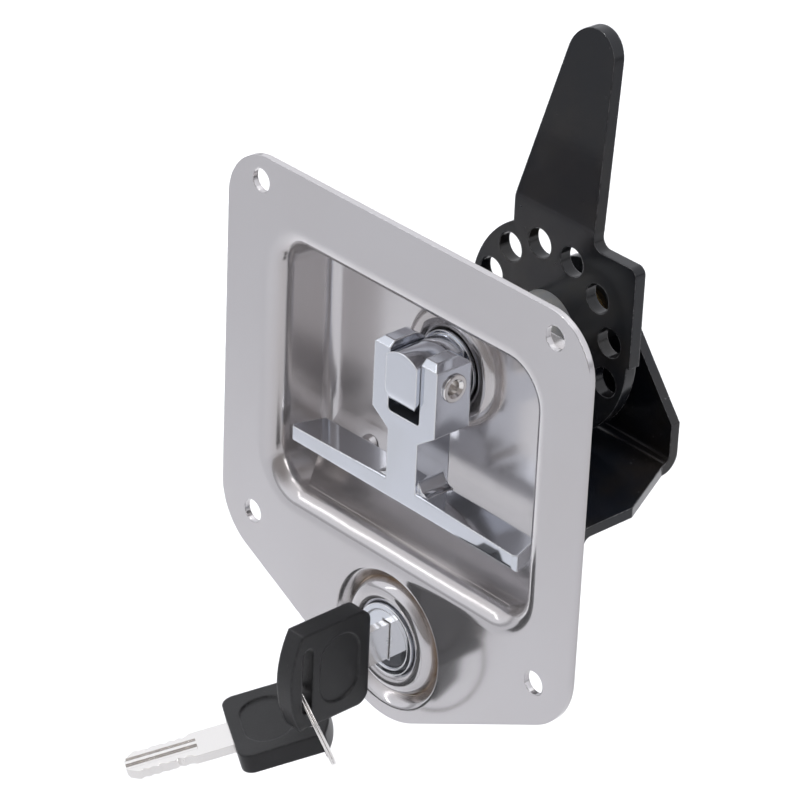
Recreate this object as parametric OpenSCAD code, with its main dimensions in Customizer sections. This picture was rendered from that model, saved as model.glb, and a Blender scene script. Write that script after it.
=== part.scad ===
// Flush trailer door latch: pressed face pan, folding T-handle on a turning spindle,
// cam with a bracket behind it, and a keyed lock under the recess.
// X is to the right seen from outside, Y runs into the door, Z is up.
// The origin is the centre of the four screw holes on the flange's rear face.
// Depths are measured from the flange's front face into the door.

/* [Face plate] */
// Width of the face plate
plate_w = 113.4; // [110:0.2:130]
// Top edge above the screw pattern's centre
plate_top = 47.8; // [46:0.2:56]
// Lower end of the straight sides below the centre
plate_side = 46.9; // [45:0.2:52]
// Point below the centre where the sloping edges would meet
plate_tip = 75.6; // [73:0.2:84]
// Thickness of the pressed sheet
sheet = 1.5; // [1:0.1:2]
// Screw hole spacing across
hole_span_x = 92; // [90:0.5:98]
// Screw hole spacing up and down
hole_span_z = 83.3; // [81:0.1:86]
// Screw hole diameter
hole_d = 5.6; // [4:0.1:6.5]
// Radius of the two top corners
top_corner_r = 13; // [6:0.5:14]
// Radius of the two side corners
side_corner_r = 16; // [8:0.5:20]
// Radius of the bottom tip
tip_r = 20; // [10:0.5:26]

/* [Recess] */
// Inner width between the side walls
recess_w = 79.6; // [78:0.2:82]
// Inner top wall above the centre
recess_top = 29.4; // [28:0.2:32]
// Inner lower wall below the centre
recess_low = 30.6; // [28.6:0.2:31]
// Depth of the floor
recess_depth = 17.5; // [17:0.1:19]
// Radius of the wall corners
recess_corner_r = 8; // [5:0.5:12]
// Radius of the bend from the flange into the wall
bend_r = 5; // [3.5:0.1:5.5]
// Radius between the floor and the side and top walls
floor_r = 3; // [1.5:0.1:5]
// Radius of the finger scoop between the floor and the lower wall
scoop_r = 14; // [8:0.5:14.5]

/* [Spindle] */
// Spindle axis above the centre
spindle_z = 10.4; // [9:0.1:12]
// Middle radius of the bead round the spindle
boss_r = 11.1; // [10.5:0.1:12]
// Height of that bead over the floor
boss_h = 3.2; // [2.6:0.1:3.4]
// Radius of the hole inside the bead
boss_hole_r = 8; // [7.8:0.05:8.6]
// Radius of the collar behind the tongue
collar_r = 8.4; // [7.8:0.1:8.6]
// Radius of the shaft in the bush
journal_r = 6.9; // [6.4:0.1:7.1]
// Side of the square shaft
square_w = 9; // [7:0.1:9.4]
// Radius of the threaded rear end
stud_r = 4; // [3:0.1:4.4]
// Radius of the round bar that the tongue is cut from
tongue_r = 7.6; // [7:0.1:8]
// Width of the tongue
tongue_w = 9.7; // [8:0.1:10.5]
// Front of the tongue
tongue_front = 0.8; // [0.5:0.1:2]
// Outer radius of the spacer sleeves
sleeve_r = 8.6; // [8:0.1:10]
// Thickness of the stop plate
stop_t = 3; // [2:0.1:4]
// Reach of the stop plate's lug from the axis
stop_reach = 24.6; // [22:0.1:25]

/* [T-handle] */
// Height of the pivot pin above the spindle axis
pin_rise = 1.6; // [0:0.1:3]
// Depth of the pivot pin
pin_depth = 7.1; // [6.5:0.1:7.6]
// Radius of the pivot pin
pin_r = 2.6; // [2:0.1:3]
// Radius of the pin's flared ends
pin_head_r = 3.3; // [2.8:0.1:4]
// Wall of the hollow pin
pin_wall = 1; // [0.6:0.1:1.4]
// Width over the two ears
ears_w = 19.8; // [18:0.1:22]
// Front face of the handle
handle_front = 2; // [1.6:0.1:3]
// Back of the ears
ears_back = 12.2; // [11:0.1:12.6]
// Top of the ears above the pin
ears_rise = 6.4; // [5.8:0.1:6.6]
// Turning radius of the ears' back corner
ears_turn_r = 6.8; // [6.6:0.1:7]
// Bottom of the slot below the pin
slot_drop = 10; // [9.8:0.1:10.4]
// Lower end of the ears below the pin
ears_drop = 11; // [10.8:0.1:11.4]
// Start of the plain stem below the pin
stem_drop = 14.6; // [13:0.1:16]
// Width of the stem
stem_w = 9.4; // [8:0.1:10]
// Back of the stem
stem_back = 11.8; // [10.8:0.1:12.4]
// Top of the T-bar below the pin
bar_drop = 26.8; // [25:0.1:28]
// Height of the T-bar
bar_h = 5; // [4:0.1:5.5]
// Length of the T-bar
bar_l = 72.8; // [60:0.2:74]
// How far the T-bar's top drops towards its ends
bar_taper = 0.9; // [0:0.1:1.5]
// Back of the T-bar
bar_back = 10.4; // [9.5:0.1:11.4]
// How far each end of the T-bar slopes in towards the back
bar_slope = 2.6; // [1:0.1:6]
// Fillet between the stem and the T-bar
bar_fillet_r = 3.2; // [1:0.1:5]
// Bevel round the T-bar's front face
bar_bevel = 0.9; // [0.4:0.1:1.4]

/* [Cam] */
// Thickness of the cam
cam_t = 3; // [2:0.1:3.4]
// Radius of the cam's disc
cam_r = 24.6; // [23.4:0.1:25]
// Stop edge of the square shoulder from the axis
shoulder_x = 25.5; // [25:0.1:27]
// Top of the square shoulder above the axis
shoulder_h = 24; // [22:0.1:26]
// Corner radius of the square shoulder
shoulder_r = 2; // [1:0.1:4]
// Bend line of the finger above the axis
crease_h = 27.6; // [26.8:0.1:32]
// Half width of the finger at its root
finger_root = 12.4; // [11:0.1:14]
// Half width and tip radius of the finger
finger_tip = 7; // [5:0.1:8]
// Length of the finger beyond the bend line
finger_l = 42.4; // [30:0.2:60]
// Angle that the finger leans back
finger_lean = 13; // [0:0.5:16]
// Bend radius of the finger
finger_bend_r = 12; // [4:0.5:16]
// Radius of the rod hole circle
rod_circle_r = 19.4; // [18.6:0.1:20]
// Radius of a rod hole
rod_hole_r = 3.5; // [2:0.05:3.7]
// Angle of the lowest rod hole
rod_first = -18.4; // [-20:0.2:-12]
// Angle between the rod holes
rod_pitch = 30; // [28:0.5:31]
// Number of rod holes
rod_count = 7; // [3:1:7]

/* [Bracket] */
// Thickness of the bracket
bracket_t = 2.5; // [2:0.1:3]
// Rear face of the bracket's web
bracket_depth = 58.5; // [58:0.1:62]
// Width of the bracket at the pan
bracket_w = 75; // [70:0.5:76]
// Depth where the shelf starts to narrow
bracket_wide = 36; // [33:0.1:40]
// Width of the web
web_w = 57.5; // [50:0.5:62]
// Top of the web's straight sides below the axis
web_drop = 16.4; // [12:0.1:18]
// Radius of the web's round top
web_r = 12.8; // [9:0.1:14]
// Inner radius of the bracket's bends
bracket_bend_r = 2; // [1:0.1:3]
// Lower end of the bracket's foot below the centre
foot_low = 26; // [25.4:0.1:27]
// Spacing of the two rivets
rivet_span = 52; // [46:0.5:60]
// Rivets below the centre
rivet_low = 21.6; // [21.4:0.1:22]
// Radius of a rivet's shank
rivet_r = 2; // [1.5:0.05:2.4]

/* [Lock] */
// Lock axis below the centre
lock_low = 53.2; // [52:0.1:54]
// Outer radius of the dish round the lock
dish_r = 17; // [16.4:0.1:17.4]
// Depth of the dish
dish_depth = 2.6; // [2.2:0.1:3]
// Middle radius of the bead round the lock
lock_bead_r = 10.8; // [10.4:0.1:11]
// Height of that bead over the dish
lock_bead_h = 3; // [2.6:0.1:3.1]
// Radius of the lock barrel
barrel_r = 8.05; // [7.8:0.05:8.1]
// Rear end of the lock barrel
barrel_depth = 27; // [26:0.1:28]
// Radius of the plug
plug_r = 7; // [6.6:0.05:7.2]
// Thickness of the lock tail
tail_t = 2.5; // [1.5:0.1:3]
// Width of the lock tail
tail_w = 8; // [6:0.1:9]
// Reach of the lock tail from the lock axis
tail_reach = 42.5; // [42:0.1:43]
// Number of wafers
wafer_count = 5; // [3:1:6]
// Spacing of the wafers
wafer_pitch = 2.8; // [2:0.1:3]

/* [Keys] */
// Thickness of a key blade
blade_t = 2.2; // [1.6:0.1:2.6]
// Width of a key blade
blade_w = 9; // [7:0.1:9.4]
// Length of a key blade beyond its head
blade_l = 24.5; // [23.5:0.1:26]
// Gap between the key's head and the lock's face
key_stand_off = 6.9; // [5:0.1:7.5]
// Length of a key's head
head_l = 22.6; // [22:0.2:25]
// Width of a key's head
head_w = 24.2; // [23:0.2:26]
// Thickness of a key's head
head_t = 4.8; // [4:0.1:5]
// Length of the ring slot
ring_slot_l = 16.5; // [14:0.1:18]
// Width of the ring slot
ring_slot_w = 3; // [2.8:0.1:3.4]
// Ring slot's middle from the head's blade end
ring_slot_back = 17.8; // [17.4:0.1:18.4]
// Middle radius of the key ring
ring_r = 12.4; // [12:0.1:12.8]
// Radius of the key ring's wire
ring_wire_r = 0.5; // [0.3:0.05:0.6]

/* [Clearances] */
// Radial running clearance
run_gap = 0.05; // [0.02:0.01:0.09]
// Gap between faces that sit together
face_gap = 0.05; // [0.02:0.01:0.2]
// Side clearance of the handle on the tongue
side_gap = 0.15; // [0.1:0.05:0.4]
// Clearance of a stop before it touches
stop_gap = 0.4; // [0.4:0.1:1]

/* [Hidden] */
$fn = 64;

recess_x = recess_w / 2;
floor_back = recess_depth + sheet;
pin_z = spindle_z + pin_rise;
lock_z = -lock_low;

// Spindle stack, from the pan's back to the bracket's web
bush_flange_t = 1.5;
bush_flange_r = boss_r + boss_h + 1;
bush_back = floor_back + face_gap + bush_flange_t;
collar_gap = 0.35;
collar_back = recess_depth - sqrt(max(0, (boss_h + collar_gap) ^ 2 - (boss_r - collar_r) ^ 2));
collar_front = pin_depth + ears_turn_r + 0.5;
tongue_lap = 0.3;
// Lower end of the tongue, clear of the slot when the handle turns
tongue_low = pin_z - slot_drop + 2.2;
cone_t = 0.8;
cone_h = 0.8;
cone_r = journal_r + 4.8;
cone_back = bush_back + face_gap + cone_t + cone_h;
journal_back = cone_back + face_gap;
tail_front = barrel_depth + 1;
tail_back = tail_front + tail_t;
stop_front = (tail_front + tail_back - stop_t) / 2;
stop_back = stop_front + stop_t;
web_front = bracket_depth - bracket_t;
end_bush_wall = 1.4;
end_bush_lip = 1;
nut_gap = 0.8;
nut_t = 5;
nut_back = web_front - end_bush_lip - nut_gap;
washer_t = 1.6;
washer_back = nut_back - nut_t - face_gap;
cam_back = washer_back - washer_t - face_gap;
cam_depth = cam_back - cam_t;
clip_t = 1;
clip_ring = 2.4;
clip_gap = 0.4;
groove_depth = 0.8;
clip_front = bracket_depth + clip_gap;
stud_tip = 1.2;
stud_back = clip_front + clip_t + stud_tip;
square_hole = square_w + 2 * run_gap;
sleeve_bore_r = square_w * sqrt(2) / 2 + run_gap;

// Shelf of the bracket, under the cam's stop edge
shelf_top = spindle_z - shoulder_x - stop_gap;
shelf_low = shelf_top - bracket_t;
slot_play = 0.75;
shelf_middle = (floor_back + bracket_depth) / 2;
bend_out_r = bracket_bend_r + bracket_t;

// Lock
dish_lap = 0.3;
barrel_hole_r = barrel_r + 0.1;
barrel_front = dish_depth - lock_bead_h - 0.1;
rim_r = barrel_r + 0.45;
rim_back = barrel_front + 0.9;
plug_front = barrel_front + 0.25;
plug_back = barrel_depth + 0.5;
plug_square = 6;
tail_screw_r = 2;
tail_washer_t = 0.8;
tail_washer_r = 4.6;
wafer_t = 1.2;
wafer_first = 3.6;
wafer_x = 2.5;
keyway_gap = 0.2;
key_reach = blade_l - key_stand_off + barrel_front;
keyway_back = key_reach + 1;

// Keys: the head's blade end is the key's own zero
head_end = barrel_front - key_stand_off;
tang_l = 10;
far_r = 26;
ring_hang = ring_slot_l / 2 - 3.9;
ring_hold = [0, at(head_end) - ring_slot_back, lock_z - ring_hang];
ring_tip = 67.1;
ring_yaw = 65;
ring_hold_angle = 212.1;
ring_e1 = [cos(ring_tip) * cos(ring_yaw), cos(ring_tip) * sin(ring_yaw), -sin(ring_tip)];
ring_e2 = [-sin(ring_yaw), cos(ring_yaw), 0];
ring_centre = ring_hold - ring_arm(ring_hold_angle);
spare_hold_angle = 52.9;
spare_yaw = 150.4;
spare_pitch = 13.7;
spare_slot_shift = 0.6;

// Arm from the ring's centre to its wire
function ring_arm(a) = ring_r * (cos(a) * ring_e1 + sin(a) * ring_e2);
// Row coordinate of a depth
function at(depth) = depth - sheet;
function unit(v) = v / norm(v);
// Height over a round end's centre where the two lines that touch it meet;
// each line passes x to the side and drop below the centre
function apex(x, drop, r) = r / cos(asin(r / norm([x, drop])) + atan2(drop, x));

// Outline with corners [x, y, radius]; a corner with a radius points outwards
module rounded(corners) {
    n = len(corners);
    spot = [for (c = corners) [c[0], c[1]]];
    difference() {
        polygon(spot);
        for (i = [0:n - 1]) if (corners[i][2] > 0) {
            r = corners[i][2];
            back = unit(spot[(i + n - 1) % n] - spot[i]);
            ahead = unit(spot[(i + 1) % n] - spot[i]);
            half = acos(back * ahead) / 2;
            inward = unit(back + ahead) * r / sin(half);
            difference() {
                polygon([spot[i] + inward, spot[i] + back * r / tan(half), spot[i] - inward,
                    spot[i] + ahead * r / tan(half)]);
                translate(spot[i] + inward) circle(r);
            }
        }
    }
}

// The same kind of outline for blunt corners, put together from its straight part and a disc in each corner
module rounded_blunt(corners) {
    n = len(corners);
    spot = [for (c = corners) [c[0], c[1]]];
    back = [for (i = [0:n - 1]) unit(spot[(i + n - 1) % n] - spot[i])];
    ahead = [for (i = [0:n - 1]) unit(spot[(i + 1) % n] - spot[i])];
    half = [for (i = [0:n - 1]) acos(back[i] * ahead[i]) / 2];
    run = [for (i = [0:n - 1]) corners[i][2] / tan(half[i])];
    polygon([for (i = [0:n - 1]) each [spot[i] + back[i] * run[i], spot[i] + ahead[i] * run[i]]]);
    for (i = [0:n - 1])
        translate(spot[i] + unit(back[i] + ahead[i]) * corners[i][2] / sin(half[i])) circle(corners[i][2]);
}

// Flat ring
module ring(outer, inner) {
    difference() {
        circle(outer);
        circle(inner);
    }
}

// Front-view outline (x, z) pressed between two depths
module pressed(d0, d1) {
    translate([0, at(d1), 0]) rotate([90, 0, 0]) linear_extrude(d1 - d0) children();
}

// Side-view outline (depth, z) carried across a width
module across(w) {
    translate([-w / 2, 0, 0]) multmatrix([[0, 0, 1, 0], [1, 0, 0, -sheet], [0, 1, 0, 0]])
        linear_extrude(w) children();
}

// Top-view outline (x, depth) carried between two heights
module upright(z0, z1) {
    translate([0, -sheet, z0]) linear_extrude(z1 - z0) children();
}

// Round bar along the depth
module rod(d0, d1, r, z) {
    translate([0, at(d1), z]) rotate([90, 0, 0]) cylinder(h = d1 - d0, r = r);
}

// Profile (radius, depth) turned about an axis along the depth
module turned(z) {
    translate([0, -sheet, z]) rotate([-90, 0, 0]) rotate_extrude() children();
}

// Tube along the depth
module tube(d0, d1, outer, inner, z) {
    turned(z) translate([inner, d0]) square([outer - inner, d1 - d0]);
}

// Hexagon nut along the depth, measured across its flats
module hex_nut(d0, d1, flats, bore, z) {
    difference() {
        translate([0, at(d1), z]) rotate([90, 0, 0]) cylinder(h = d1 - d0, r = flats / sqrt(3), $fn = 6);
        rod(d0 - 1, d1 + 1, bore, z);
    }
}

// Square hole or shaft along the depth
module square_bar(d0, d1, w, z) {
    pressed(d0, d1) translate([0, z]) square(w, center = true);
}

// Outline of the recess, grown outwards
module recess_outline(grow) {
    r = recess_corner_r + grow;
    x = recess_x + grow;
    rounded([[x, recess_top + grow, r], [-x, recess_top + grow, r],
        [-x, -recess_low - grow, r], [x, -recess_low - grow, r]]);
}

// Profile (outwards, depth) carried round the recess
module round_recess() {
    r = recess_corner_r;
    for (m = [0, 1]) mirror([m, 0, 0]) {
        translate([recess_x, -sheet, r - recess_low])
            linear_extrude(recess_top + recess_low - 2 * r) children();
        translate([recess_x - r, -sheet, recess_top - r]) mirror([0, 0, 1])
            rotate([-90, 0, 0]) rotate_extrude(angle = 90) translate([r, 0]) children();
        translate([recess_x - r, -sheet, r - recess_low])
            rotate([-90, 0, 0]) rotate_extrude(angle = 90) translate([r, 0]) children();
    }
    translate([recess_x - r, -sheet, recess_top])
        rotate([0, -90, 0]) linear_extrude(recess_w - 2 * r) children();
    mirror([0, 0, 1]) translate([recess_x - r, -sheet, recess_low])
        rotate([0, -90, 0]) linear_extrude(recess_w - 2 * r) children();
}

// Body of the recess behind its front bend, grown outwards
module tub(front, grow) {
    floor_d = recess_depth + grow;
    x = recess_x + grow;
    intersection() {
        pressed(front, floor_d) recess_outline(grow);
        across(2 * x) rounded([[front - 1, recess_top + grow, 0], [floor_d, recess_top + grow, floor_r + grow],
            [floor_d, -recess_low - grow, scoop_r + grow], [front - 1, -recess_low - grow, 0]]);
        upright(-recess_low - grow, recess_top + grow) rounded([[x, front - 1, 0],
            [x, floor_d, floor_r + grow], [-x, floor_d, floor_r + grow], [-x, front - 1, 0]]);
    }
}

// Pressed bead (radius, depth) that stands on a face and ends at a hole
module bead(middle, height, face, hole) {
    intersection() {
        translate([middle, face]) ring(height, height - sheet);
        translate([hole, face - height - 1]) square([middle + height, height + 1]);
    }
}

// Section (radius, depth) of the dish round the lock, which falls in an even curve to the bead's foot
module dish_section() {
    foot_r = lock_bead_r + lock_bead_h;
    steps = 12;
    fall = [for (i = [0:steps]) [dish_r - (dish_r - foot_r) * i / steps,
        dish_depth * (1 - cos(180 * i / steps)) / 2]];
    polygon(concat([[dish_r + dish_lap, 0]], fall, [[foot_r - sheet, dish_depth], [foot_r - sheet, dish_depth + sheet]],
        [for (i = [steps:-1:0]) fall[i] + [0, sheet]], [[dish_r + dish_lap, sheet]]));
}

module plate_outline() {
    x = plate_w / 2;
    rounded_blunt([[x, plate_top, top_corner_r], [-x, plate_top, top_corner_r], [-x, -plate_side, side_corner_r],
        [0, -plate_tip, tip_r], [x, -plate_side, side_corner_r]]);
}

module face_pan() {
    color("silver") {
        pressed(0, sheet) difference() {
            plate_outline();
            recess_outline(bend_r);
            translate([0, lock_z]) circle(dish_r + dish_lap);
            for (sx = [-1, 1], sz = [-1, 1])
                translate([sx * hole_span_x / 2, sz * hole_span_z / 2]) circle(d = hole_d);
        }
        round_recess() intersection() {
            square(bend_r);
            translate([bend_r, bend_r]) ring(bend_r, bend_r - sheet);
        }
        difference() {
            tub(bend_r, sheet);
            tub(bend_r - 1, 0);
            rod(recess_depth - 1, floor_back + 1, boss_r + boss_h - sheet, spindle_z);
            translate([-rivet_span / 2, 0, 0]) rod(bend_r, floor_back + 1, rivet_r + run_gap, -rivet_low);
        }
        turned(spindle_z) bead(boss_r, boss_h, recess_depth, boss_hole_r);
        turned(lock_z) dish_section();
        turned(lock_z) bead(lock_bead_r, lock_bead_h, dish_depth, barrel_hole_r);
    }
}

// Side view of the ears: front bevel, and a back corner turned about the pin
module ears_side() {
    top = pin_z + ears_rise;
    bottom = pin_z - stem_drop;
    back_run = ears_back - pin_depth;
    bevel = 1.4;
    difference() {
        polygon([[handle_front, bottom], [handle_front, top - bevel], [handle_front + bevel, top],
            [ears_back, top], [ears_back, pin_z - ears_drop], [stem_back, bottom]]);
        difference() {
            translate([pin_depth, pin_z]) square([back_run + 1, ears_rise + 1]);
            translate([pin_depth, pin_z]) circle(ears_turn_r);
        }
    }
}

// Front view of the ears with their taper into the stem
module ears_front() {
    x = ears_w / 2;
    corner = 1.6;
    polygon([[x - corner, pin_z + ears_rise], [x, pin_z + ears_rise - corner], [x, pin_z - ears_drop],
        [stem_w / 2, pin_z - stem_drop], [-stem_w / 2, pin_z - stem_drop], [-x, pin_z - ears_drop],
        [-x, pin_z + ears_rise - corner], [corner - x, pin_z + ears_rise]]);
}

// T-bar: sloped ends, a top that drops towards them, and bevels round its front face
module t_bar() {
    x = bar_l / 2;
    top = pin_z - bar_drop;
    low = top - bar_h;
    root = stem_w / 2;
    intersection() {
        upright(low, top) polygon([[x - bar_bevel, handle_front], [x, handle_front + bar_bevel],
            [x - bar_slope, bar_back], [bar_slope - x, bar_back], [-x, handle_front + bar_bevel],
            [bar_bevel - x, handle_front]]);
        across(bar_l) rounded([[handle_front, top, 0.6], [bar_back, top, 1.2],
            [bar_back, low, 1.6], [handle_front, low, 1.2]]);
        pressed(handle_front, bar_back) polygon([[root, top], [x, top - bar_taper], [x, low], [-x, low],
            [-x, top - bar_taper], [-root, top]]);
    }
}

module t_handle() {
    slot_x = tongue_w / 2 + side_gap;
    slot_low = pin_z - slot_drop;
    slot_top = pin_z + ears_rise + 1;
    slot_r = 1;
    stem_top = pin_z - stem_drop;
    bar_top = pin_z - bar_drop;
    overlap = 1;
    color("gainsboro") difference() {
        union() {
            intersection() {
                pressed(handle_front, ears_back) ears_front();
                across(ears_w) ears_side();
            }
            pressed(handle_front, stem_back) translate([-stem_w / 2, bar_top - overlap])
                square([stem_w, stem_top - bar_top + 2 * overlap]);
            pressed(handle_front + bar_bevel, bar_back) for (m = [0, 1]) mirror([m, 0])
                translate([stem_w / 2 - overlap, bar_top - overlap]) difference() {
                    square(bar_fillet_r + overlap);
                    translate([bar_fillet_r + overlap, bar_fillet_r + overlap]) circle(bar_fillet_r);
                }
            t_bar();
        }
        pressed(handle_front - 1, ears_back + 1) rounded([[slot_x, slot_top, 0], [-slot_x, slot_top, 0],
            [-slot_x, slot_low, slot_r], [slot_x, slot_low, slot_r]]);
        translate([0, at(pin_depth), pin_z]) rotate([0, 90, 0])
            cylinder(h = ears_w + 2, r = pin_r + run_gap, center = true);
    }
}

module pivot_pin() {
    flare = 0.6;
    bore = 2.4;
    mouth = 0.7;
    bore_r = pin_r - pin_wall;
    out = ears_w / 2 + face_gap;
    color("lightgray") translate([0, at(pin_depth), pin_z]) rotate([0, 90, 0]) difference() {
        union() {
            cylinder(h = 2 * out + flare, r = pin_r, center = true);
            for (m = [0, 1]) mirror([0, 0, m]) translate([0, 0, out]) rotate_extrude()
                rounded([[0, 0, 0], [pin_head_r, 0, 0], [pin_head_r, flare, flare / 2], [0, flare, 0]]);
        }
        for (m = [0, 1]) mirror([0, 0, m]) translate([0, 0, out + flare]) {
            translate([0, 0, -bore]) cylinder(h = bore + 1, r = bore_r);
            translate([0, 0, -mouth]) cylinder(h = 2 * mouth, r1 = bore_r, r2 = bore_r + 2 * mouth);
        }
    }
}

// Side view of the tongue: square front, rounded under the pin so that the handle can turn
module tongue_side() {
    top = pin_z + ears_rise;
    back = collar_front + tongue_lap;
    rounded([[tongue_front, top, 1], [back, top, 0], [back, tongue_low, 0], [tongue_front, tongue_low, 3.4]]);
}

// Front view of the tongue with its round lower end
module tongue_front_view() {
    x = tongue_w / 2;
    top = pin_z + ears_rise;
    end_r = 0.8 * x;
    rounded([[x, top, 0.8], [-x, top, 0.8], [-x, tongue_low, end_r], [x, tongue_low, end_r]]);
}

module spindle() {
    groove = clip_t + 2 * face_gap;
    color("gainsboro") difference() {
        union() {
            intersection() {
                pressed(tongue_front, collar_front + tongue_lap) tongue_front_view();
                across(tongue_w) tongue_side();
                rod(tongue_front - 1, collar_front + 1, tongue_r, spindle_z);
            }
            rod(collar_front, collar_back, collar_r, spindle_z);
            rod(collar_front, journal_back, journal_r, spindle_z);
            square_bar(journal_back, cam_back - face_gap, square_w, spindle_z);
            rod(cam_back - face_gap, stud_back, stud_r, spindle_z);
        }
        translate([0, at(pin_depth), pin_z]) rotate([0, 90, 0])
            cylinder(h = ears_w + 2, r = pin_r + run_gap, center = true);
        tube(clip_front - face_gap, clip_front - face_gap + groove, stud_r + 1, stud_r - groove_depth, spindle_z);
    }
}

module spindle_bush() {
    color("dimgray") {
        tube(collar_back + face_gap, bush_back, boss_hole_r - run_gap, journal_r + run_gap, spindle_z);
        tube(floor_back + face_gap, bush_back, bush_flange_r, journal_r + run_gap, spindle_z);
    }
}

module spring_washer() {
    inner = journal_r + 0.2;
    front = bush_back + face_gap;
    color("slategray") turned(spindle_z) polygon([[inner, front], [inner, front + cone_t],
        [cone_r, front + cone_t + cone_h], [cone_r, front + cone_h]]);
}

module front_sleeve() {
    color("darkgray") tube(journal_back + face_gap, stop_front - face_gap, sleeve_r, sleeve_bore_r, spindle_z);
}

// Stop plate: round hub, and a lug beside the upright lock tail
module stop_plate() {
    lug_x = tail_w / 2 + stop_gap;
    lug_w = 7;
    color("dimgray") difference() {
        pressed(stop_front, stop_back) translate([0, spindle_z]) {
            circle(sleeve_r + 2);
            intersection() {
                translate([lug_x, -stop_reach]) square([lug_w, stop_reach]);
                circle(stop_reach);
            }
        }
        square_bar(stop_front - 1, stop_back + 1, square_hole, spindle_z);
    }
}

module rear_sleeve() {
    color("darkgray") tube(stop_back + face_gap, cam_depth - face_gap, sleeve_r, sleeve_bore_r, spindle_z);
}

// Side view of the cam: flat to the bend line, then leaning back
module cam_side() {
    reach = finger_l + finger_tip;
    low = spindle_z - cam_r - 1;
    crease = spindle_z + crease_h;
    tip = [cam_depth + reach * sin(finger_lean), crease + reach * cos(finger_lean)];
    rounded([[cam_depth, low, 0], [cam_depth, crease, finger_bend_r], [tip[0], tip[1], 0],
        [tip[0] + cam_t * cos(finger_lean), tip[1] - cam_t * sin(finger_lean), 0],
        [cam_back, crease - cam_t * tan(finger_lean / 2), 0], [cam_back, low, 0]]);
}

// Finger seen from the front: straight root, then a taper to a round tip
module finger_outline() {
    rise = finger_l * cos(finger_lean) - finger_tip;
    rounded([[finger_root, 0, 0], [finger_root, crease_h, 0],
        [0, crease_h + rise + apex(finger_root, rise, finger_tip), finger_tip],
        [-finger_root, crease_h, 0], [-finger_root, 0, 0]]);
}

// Square stop shoulder with the fillet beside the finger
module shoulder_outline() {
    inside_r = 2.4;
    rounded([[0, 0, 0], [shoulder_x, 0, 0], [shoulder_x, shoulder_h, shoulder_r], [0, shoulder_h, 0]]);
    translate([finger_root - 1, shoulder_h - 1]) difference() {
        square(inside_r + 1);
        translate([inside_r + 1, inside_r + 1]) circle(inside_r);
    }
}

module cam_arm() {
    deep = cam_back + finger_l;
    color([0.09, 0.09, 0.1]) difference() {
        intersection() {
            union() {
                pressed(cam_depth - 1, deep) translate([0, spindle_z]) circle(cam_r);
                pressed(cam_depth - 1, deep) translate([0, spindle_z]) shoulder_outline();
                pressed(cam_depth - 1, deep) translate([0, spindle_z]) finger_outline();
            }
            across(3 * cam_r) cam_side();
        }
        for (i = [0:rod_count - 1])
            translate([rod_circle_r * cos(rod_first + i * rod_pitch), 0, 0])
                rod(cam_depth - 1, cam_back + 1, rod_hole_r, spindle_z + rod_circle_r * sin(rod_first + i * rod_pitch));
        square_bar(cam_depth - 1, cam_back + 1, square_hole, spindle_z);
    }
}

module cam_washer() {
    color("silver") tube(cam_back + face_gap, washer_back, 2 * stud_r, stud_r + run_gap, spindle_z);
}

module cam_nut() {
    color("silver") hex_nut(washer_back + face_gap, nut_back, 3.25 * stud_r, stud_r + run_gap, spindle_z);
}

// Side view of the bracket's foot on the pan and the front half of its shelf
module foot_side() {
    foot_back = floor_back + bracket_t;
    difference() {
        rounded([[floor_back, shelf_top, bend_out_r], [shelf_middle, shelf_top, 0],
            [shelf_middle, -foot_low, 0], [floor_back, -foot_low, 0]]);
        rounded([[foot_back, shelf_low, bracket_bend_r], [shelf_middle + 1, shelf_low, 0],
            [shelf_middle + 1, -foot_low - 1, 0], [foot_back, -foot_low - 1, 0]]);
    }
}

// Side view of the rear half of the shelf and the web behind the cam
module web_side() {
    top = spindle_z + web_r;
    front = shelf_middle - 1;
    difference() {
        rounded([[bracket_depth, shelf_low, bend_out_r], [bracket_depth, top, 0], [front, top, 0],
            [front, shelf_low, 0]]);
        rounded([[web_front, shelf_top, bracket_bend_r], [web_front, top + 1, 0], [front - 1, top + 1, 0],
            [front - 1, shelf_top, 0]]);
    }
}

// Front view of the bracket: wide below, tapered to a top that is round about the spindle
module bracket_front() {
    x = web_w / 2;
    wide = bracket_w / 2;
    side = spindle_z - web_drop;
    top = spindle_z + apex(x, web_drop, web_r);
    rounded([[wide, -foot_low, 0], [wide, side, 0], [x, side, 0], [0, top, web_r], [-x, side, 0],
        [-wide, side, 0], [-wide, -foot_low, 0]]);
}

// Top view of the bracket: narrows towards the web
module bracket_top() {
    wide = bracket_w / 2;
    x = web_w / 2;
    polygon([[wide, floor_back - 1], [wide, bracket_wide], [x, bracket_depth - bend_out_r], [x, bracket_depth + 1],
        [-x, bracket_depth + 1], [-x, bracket_depth - bend_out_r], [-wide, bracket_wide], [-wide, floor_back - 1]]);
}

module rear_bracket() {
    sweep = acos((shelf_low - lock_z) / tail_reach);
    left = (shelf_low - lock_z) * tan(sweep) + tail_w;
    right = tail_w / 2 + slot_play;
    color([0.08, 0.08, 0.09]) difference() {
        intersection() {
            union() {
                across(bracket_w) foot_side();
                across(bracket_w) web_side();
            }
            pressed(floor_back - 1, bracket_depth + 1) bracket_front();
            upright(-foot_low, spindle_z + web_r) bracket_top();
        }
        upright(shelf_low - 1, shelf_top + 1) translate([-left, tail_front - slot_play])
            square([left + right, tail_t + 2 * slot_play]);
        rod(web_front - 1, bracket_depth + 1, stud_r + run_gap + end_bush_wall + run_gap, spindle_z);
        for (sx = [-1, 1]) translate([sx * rivet_span / 2, 0, 0])
            rod(floor_back - 1, floor_back + bracket_t + 1, rivet_r + run_gap, -rivet_low);
    }
}

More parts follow.
